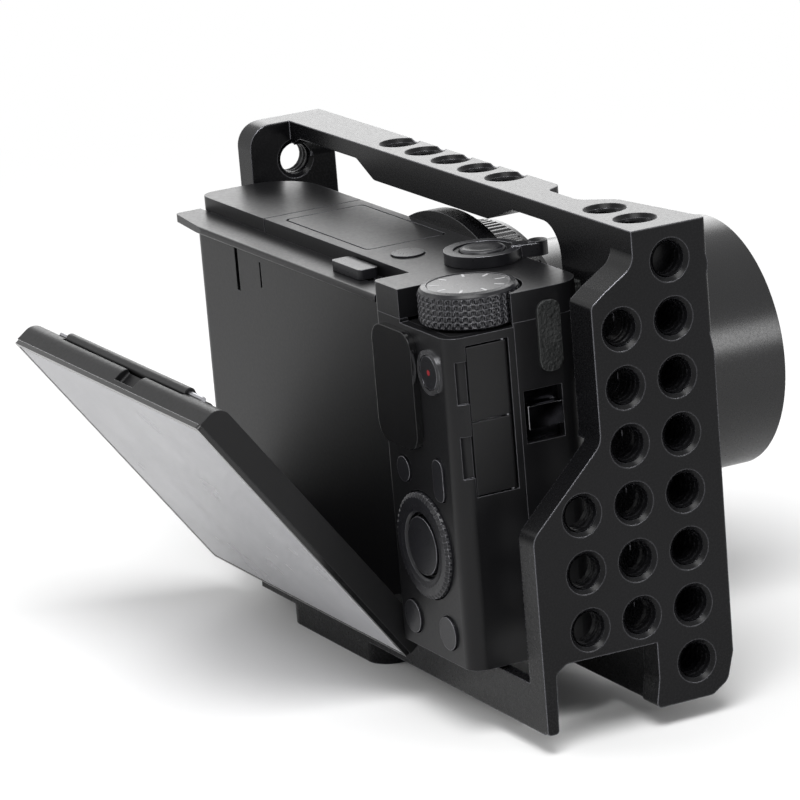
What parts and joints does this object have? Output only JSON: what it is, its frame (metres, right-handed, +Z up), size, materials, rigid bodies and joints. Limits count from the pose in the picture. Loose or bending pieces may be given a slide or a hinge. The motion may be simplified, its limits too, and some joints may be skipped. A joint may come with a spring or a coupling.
{
  "type": "camera cage",
  "caption": "Camera cage with a side plate and top beam of tapped holes, closed round a compact camera with a tilting screen, dial, wheel and zoom lens.",
  "frame": {"origin": "on the camera screw's axis, in the plane of the foot, midway between the two foot taps", "axes": "+X to the right seen from behind the camera, towards the side plate; +Y where the lens looks; +Z up"},
  "size_m": [0.1189, 0.1045, 0.0778],
  "materials": {
    "cage_black": "black anodised, satin",
    "steel": "brushed",
    "rubber": "matt",
    "case_black": "black, fine satin",
    "trim_gloss": "gloss black",
    "trim_matt": "matt black",
    "controls": "dark anodised",
    "chrome": "polished",
    "red_dot": "gloss black with a red dot",
    "barrel_black": "satin black",
    "glass": "coated",
    "display": "plain light grey, lit",
    "board": "green board",
    "cell": "matt grey",
    "flash_clear": "clear ribbed"
  },
  "bodies": {
    "cage": {"cage_frame": "cage_black", "base_pad": "rubber", "front_pads": "rubber", "rear_shell": "case_black", "front_shell": "case_black", "top_cover": "case_black", "rear_brow": "case_black", "thumb_rest": "trim_gloss", "grip_pad": "rubber", "strap_lugs": "chrome", "case_screws": "steel", "tripod_socket": "steel", "port_sockets": "chrome", "door_pin": "steel", "battery_pin": "steel", "battery": "cell", "main_board": "board", "image_sensor": "board", "lens_housing": "trim_matt", "lens_flange": "barrel_black", "dial_base": "trim_matt", "wheel_base": "trim_matt", "movie_ring": "chrome", "hinge_lugs": "steel", "hinge_pin": "steel"},
    "screw": {"camera_screw": "steel", "screw_clip": "steel"},
    "ring": {"screw_ring": "steel"},
    "plate": {"hinge_plate": "steel"},
    "screen": {"screen_shell": "trim_matt", "screen_bezel": "trim_gloss", "screen_glass": "glass", "display_panel": "display", "flip_pin": "steel"},
    "dial": {"mode_dial": "controls"},
    "wheel": {"control_wheel": "controls"},
    "centre": {"centre_button": "controls"},
    "zoom": {"zoom_lever": "controls"},
    "shutter": {"shutter_button": "controls"},
    "power": {"power_button": "controls"},
    "movie": {"movie_button": "red_dot"},
    "fn": {"fn_button": "controls"},
    "menu": {"menu_button": "controls"},
    "play": {"play_button": "controls"},
    "delete": {"delete_button": "controls"},
    "switch": {"flash_switch": "controls"},
    "flash": {"flash_cover": "case_black", "flash_head": "flash_clear"},
    "finder": {"evf_cover": "case_black", "evf_block": "trim_matt"},
    "door_upper": {"port_door_upper": "trim_matt"},
    "door_lower": {"port_door_lower": "trim_matt"},
    "bay_door": {"battery_door": "trim_matt"},
    "lens_ring": {"control_ring": "barrel_black"},
    "lens_rear": {"barrel_rear": "barrel_black"},
    "lens_front": {"barrel_front": "barrel_black", "name_ring": "barrel_black", "front_lens": "glass", "middle_lens": "glass"}
  },
  "joints": [
    {"name": "screw_turn", "type": "hinge", "parent": "cage", "child": "screw", "pos_m": [0, 0, 0.008], "axis": [0, 0, 1], "continuous": true},
    {"name": "screw_ring_fold", "type": "hinge", "parent": "screw", "child": "ring", "pos_m": [0, 0, 0.00185], "axis": [1, 0, 0], "range_deg": [-90, 0]},
    {"name": "screen_tilt", "type": "hinge", "parent": "cage", "child": "plate", "pos_m": [0, -0.0112, 0.0119], "axis": [1, 0, 0], "range_deg": [-36.2, 8.8]},
    {"name": "screen_flip", "type": "hinge", "parent": "plate", "child": "screen", "pos_m": [0, -0.0405, 0.05304], "axis": [-1, 0, 0], "range_deg": [0, 180]},
    {"name": "mode_dial_turn", "type": "hinge", "parent": "cage", "child": "dial", "pos_m": [0.0508, -0.0059, 0.066], "axis": [0, 0, 1], "continuous": true},
    {"name": "control_wheel_turn", "type": "hinge", "parent": "cage", "child": "wheel", "pos_m": [0.0467, -0.014, 0.02875], "axis": [0, 1, 0], "continuous": true},
    {"name": "zoom_lever_turn", "type": "hinge", "parent": "cage", "child": "zoom", "pos_m": [0.0369, 0.00435, 0.0696], "axis": [0, 0, 1], "range_deg": [-15, 15], "stiffness_Nm_per_rad": 0.01},
    {"name": "control_ring_turn", "type": "hinge", "parent": "cage", "child": "lens_ring", "pos_m": [0.0135, 0.0167, 0.0409], "axis": [0, 1, 0], "continuous": true},
    {"name": "shutter_press", "type": "slide", "parent": "cage", "child": "shutter", "axis": [0, 0, -1], "range_m": [0, 0.001], "stiffness_N_per_m": 400, "springref_m": -0.0002},
    {"name": "power_press", "type": "slide", "parent": "cage", "child": "power", "axis": [0, 0, -1], "range_m": [0, 0.0007], "stiffness_N_per_m": 400, "springref_m": -0.0002},
    {"name": "movie_press", "type": "slide", "parent": "cage", "child": "movie", "axis": [0, 1, 0], "range_m": [0, 0.0006], "stiffness_N_per_m": 400, "springref_m": -0.0002},
    {"name": "fn_press", "type": "slide", "parent": "cage", "child": "fn", "axis": [0, 1, 0], "range_m": [0, 0.0006], "stiffness_N_per_m": 400, "springref_m": -0.0002},
    {"name": "menu_press", "type": "slide", "parent": "cage", "child": "menu", "axis": [0, 1, 0], "range_m": [0, 0.0006], "stiffness_N_per_m": 400, "springref_m": -0.0002},
    {"name": "play_press", "type": "slide", "parent": "cage", "child": "play", "axis": [0, 1, 0], "range_m": [0, 0.0006], "stiffness_N_per_m": 400, "springref_m": -0.0002},
    {"name": "delete_press", "type": "slide", "parent": "cage", "child": "delete", "axis": [0, 1, 0], "range_m": [0, 0.0006], "stiffness_N_per_m": 400, "springref_m": -0.0002},
    {"name": "centre_press", "type": "slide", "parent": "cage", "child": "centre", "axis": [0, 1, 0], "range_m": [0, 0.0006], "stiffness_N_per_m": 400, "springref_m": -0.0002},
    {"name": "flash_switch_slide", "type": "slide", "parent": "cage", "child": "switch", "axis": [1, 0, 0], "range_m": [0, 0.002], "stiffness_N_per_m": 200, "springref_m": -0.0003},
    {"name": "flash_rise", "type": "slide", "parent": "cage", "child": "flash", "axis": [0, 0, 1], "range_m": [0, 0.009]},
    {"name": "finder_rise", "type": "slide", "parent": "cage", "child": "finder", "axis": [0, 0, 1], "range_m": [0, 0.012]},
    {"name": "port_door_upper_swing", "type": "hinge", "parent": "cage", "child": "door_upper", "pos_m": [0.0584, -0.0049, 0.056], "axis": [0, 0, 1], "range_deg": [0, 90]},
    {"name": "port_door_lower_swing", "type": "hinge", "parent": "cage", "child": "door_lower", "pos_m": [0.0584, -0.0049, 0.0444], "axis": [0, 0, 1], "range_deg": [0, 90]},
    {"name": "battery_door_swing", "type": "hinge", "parent": "cage", "child": "bay_door", "pos_m": [0.0284, 0.0012, 0.0123], "axis": [0, 1, 0], "range_deg": [0, 85]},
    {"name": "lens_rear_slide", "type": "slide", "parent": "cage", "child": "lens_rear", "axis": [0, 1, 0], "range_m": [-0.017, 0]},
    {"name": "lens_front_slide", "type": "slide", "parent": "lens_rear", "child": "lens_front", "axis": [0, 1, 0], "range_m": [-0.017, 0]}
  ],
  "couplings": [
    {"joint": "lens_front_slide", "follows": "lens_rear_slide", "ratio": 1}
  ]
}
